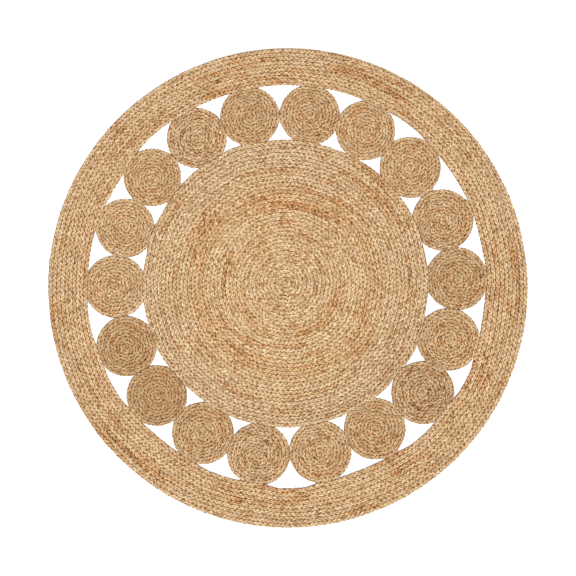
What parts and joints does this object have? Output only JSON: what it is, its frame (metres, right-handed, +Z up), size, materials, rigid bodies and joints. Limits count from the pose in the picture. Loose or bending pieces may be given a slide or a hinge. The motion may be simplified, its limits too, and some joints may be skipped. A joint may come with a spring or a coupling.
{
  "type": "round braided area rug",
  "caption": "Round area rug of coiled flat braids: a centre medallion, a ring of small coiled rosettes with open gaps, and a wide coiled border.",
  "frame": {"origin": "middle of the underside, on the floor, at the centre of the border's round outer edge", "axes": "+Z up, through the rug's thickness; +X and +Y along the floor"},
  "size_m": [1.5238, 1.5238, 0.009],
  "materials": {
    "pale_braid": "matt three-strand jute braid, pale golden straw",
    "golden_braid": "matt three-strand jute braid, golden tan with brown flecks",
    "tan_braid": "matt three-strand jute braid, slightly darker tan",
    "sewing_twine": "matt two-ply jute sewing twine"
  },
  "bodies": {
    "root": {"centre_medallion": "pale_braid", "outer_border": "golden_braid", "rosette_01": "tan_braid", "rosette_02": "tan_braid", "rosette_03": "tan_braid", "rosette_04": "tan_braid", "rosette_05": "tan_braid", "rosette_06": "tan_braid", "rosette_07": "tan_braid", "rosette_08": "tan_braid", "rosette_09": "tan_braid", "rosette_10": "tan_braid", "rosette_11": "tan_braid", "rosette_12": "tan_braid", "rosette_13": "tan_braid", "rosette_14": "tan_braid", "rosette_15": "tan_braid", "rosette_16": "tan_braid", "rosette_17": "tan_braid", "rosette_18": "tan_braid", "medallion_sewing_thread": "sewing_twine", "border_sewing_thread": "sewing_twine", "rosette_sewing_threads": "sewing_twine", "rosette_to_rosette_stitches": "sewing_twine", "rosette_to_medallion_stitches": "sewing_twine", "rosette_to_border_stitches": "sewing_twine"}
  },
  "joints": []
}
